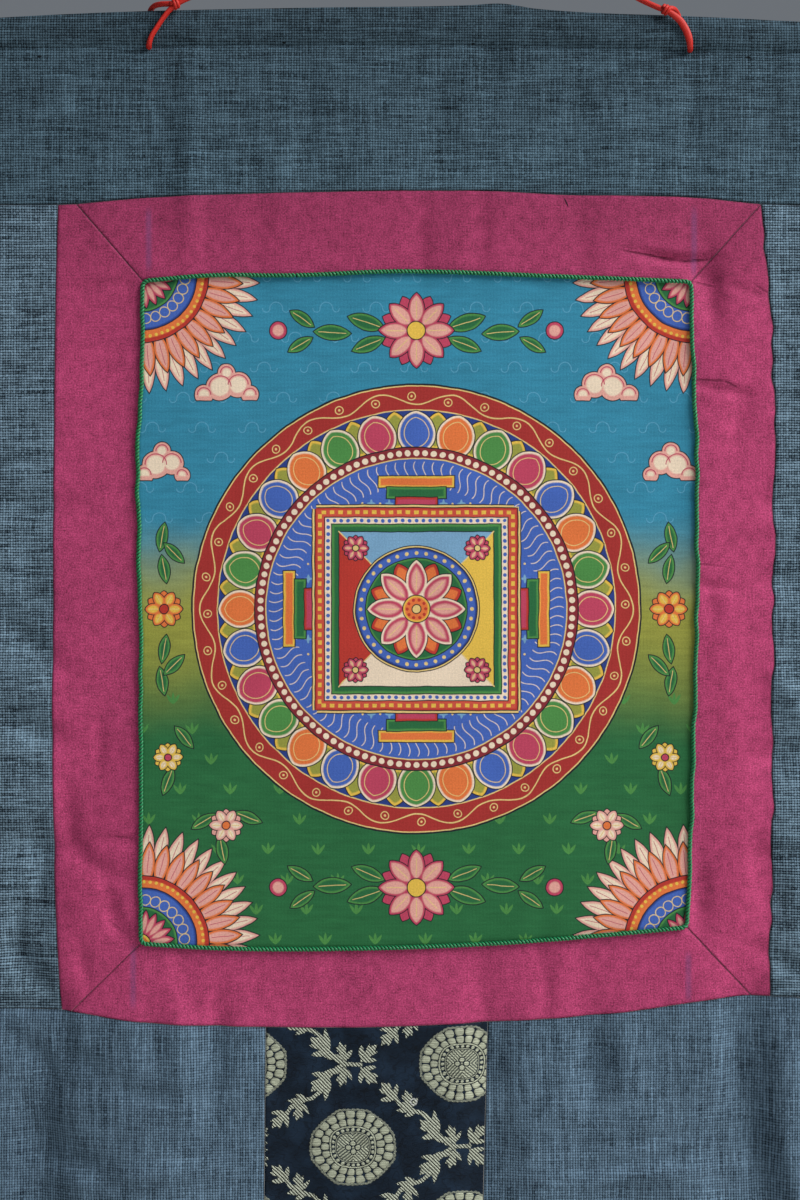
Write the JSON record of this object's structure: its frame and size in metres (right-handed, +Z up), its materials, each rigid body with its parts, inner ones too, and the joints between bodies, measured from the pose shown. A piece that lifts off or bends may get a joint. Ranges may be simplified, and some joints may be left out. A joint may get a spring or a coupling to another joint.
{
  "type": "thangka scroll painting",
  "caption": "Hanging cloth scroll with a painted canvas in a mitred border, a rod pocket, a brocade door panel and a tied satin hanging cord.",
  "frame": {"origin": "underside of the hanging cord at its highest point, where a nail or hook bears", "axes": "+X across the cloth to the viewer's right, +Y back towards the wall, +Z up; the painted front faces -Y"},
  "size_m": [0.5031, 0.0128, 0.7937],
  "materials": {
    "grey_cloth": "matte heathered plain weave",
    "pink_cloth": "soft matte weave with fine slubs",
    "brocade": "satin ground with woven silver-gold roundels",
    "painted_canvas": "matte paint on canvas with gold line",
    "green_cord": "twisted silky cord",
    "red_cord": "satin cord"
  },
  "bodies": {
    "root": {"header": "grey_cloth", "side_left": "grey_cloth", "side_right": "grey_cloth", "base_left": "grey_cloth", "base_right": "grey_cloth", "door": "brocade", "border_top": "pink_cloth", "border_bottom": "pink_cloth", "border_left": "pink_cloth", "border_right": "pink_cloth", "painting": "painted_canvas", "piping": "green_cord", "hanging_cord": "red_cord", "cord_loop_left": "red_cord", "cord_loop_right": "red_cord", "knot_left": "red_cord", "knot_right": "red_cord"}
  },
  "joints": []
}
